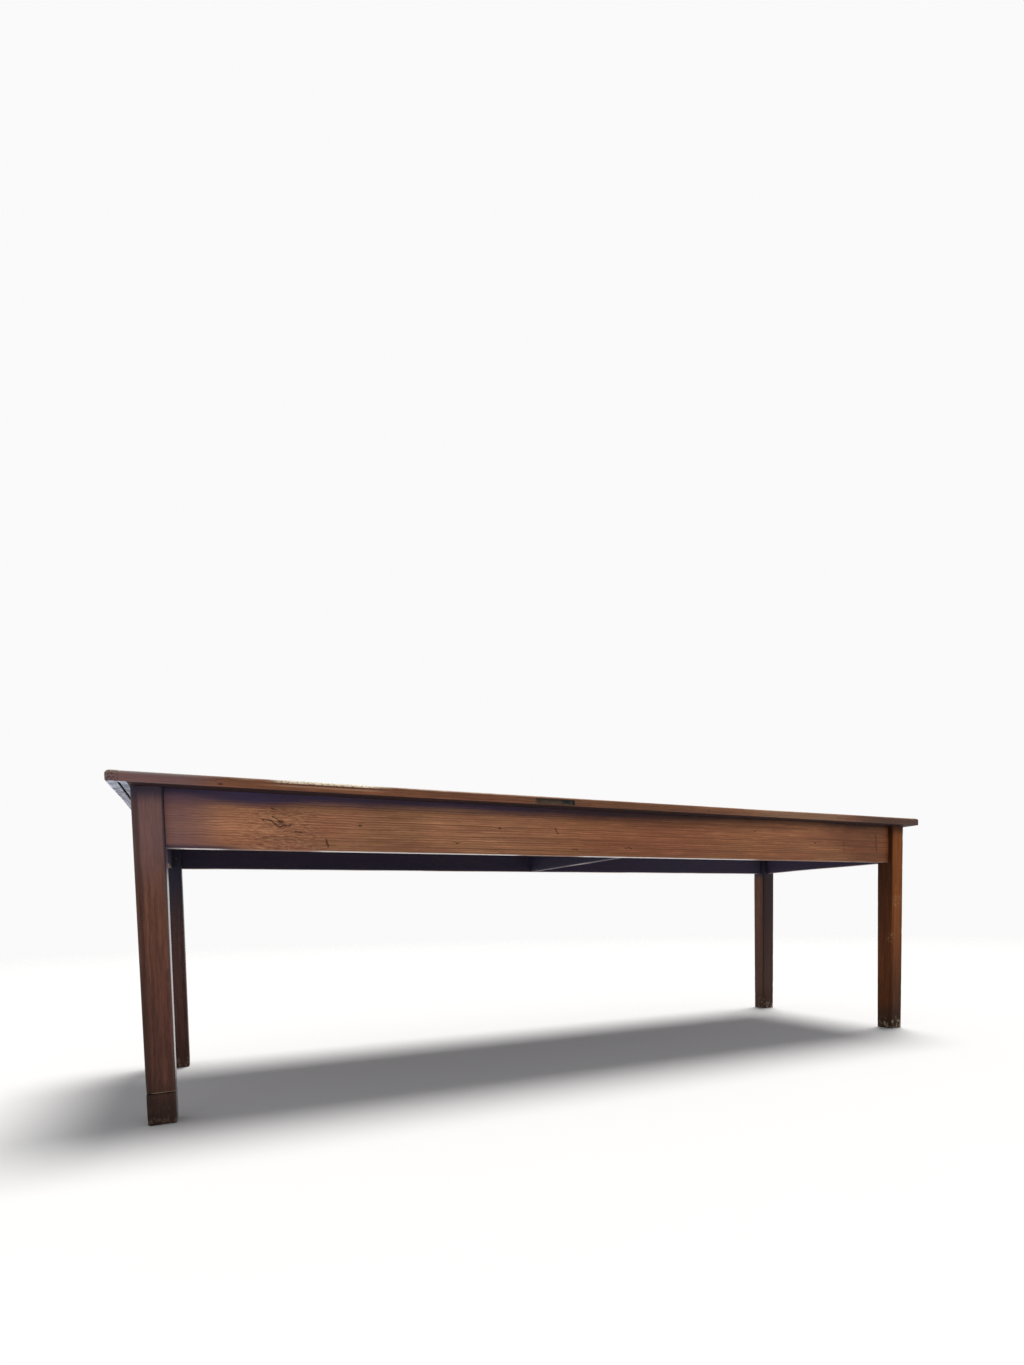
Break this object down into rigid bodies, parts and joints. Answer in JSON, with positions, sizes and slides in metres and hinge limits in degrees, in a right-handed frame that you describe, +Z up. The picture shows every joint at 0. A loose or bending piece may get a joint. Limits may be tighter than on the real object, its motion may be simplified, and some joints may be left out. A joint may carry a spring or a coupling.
{
  "type": "farmhouse dining table",
  "caption": "Long farmhouse dining table with a worn boarded top, end lippings, deep plain aprons and square pegged legs.",
  "frame": {"origin": "on the floor, under the middle of the top", "axes": "+X along the table's length to its right end, +Y from its front to its back, +Z up"},
  "size_m": [2.606, 0.744, 0.782],
  "materials": {
    "board_wood": "worn wax over stain",
    "apron_wood": "waxed stain",
    "leg_wood": "dark waxed stain",
    "inner_wood": "bare aged wood",
    "aged_brass": "dull patina",
    "dark_iron": "dark oxide"
  },
  "bodies": {
    "root": {"top_board_1": "board_wood", "top_board_2": "board_wood", "top_board_3": "board_wood", "top_board_4": "board_wood", "left_end_lipping": "board_wood", "right_end_lipping": "board_wood", "front_apron": "apron_wood", "back_apron": "apron_wood", "left_end_apron": "apron_wood", "right_end_apron": "apron_wood", "cross_rail": "apron_wood", "front_left_leg": "leg_wood", "front_left_foot": "leg_wood", "front_right_leg": "leg_wood", "back_left_leg": "leg_wood", "back_right_leg": "leg_wood", "board_tongue_1": "inner_wood", "board_tongue_2": "inner_wood", "board_tongue_3": "inner_wood", "apron_pegs": "inner_wood", "top_buttons": "inner_wood", "foot_dowel": "inner_wood", "edge_plate": "aged_brass", "edge_plate_screws": "dark_iron", "button_screws": "dark_iron", "lipping_nails": "dark_iron"}
  },
  "joints": []
}
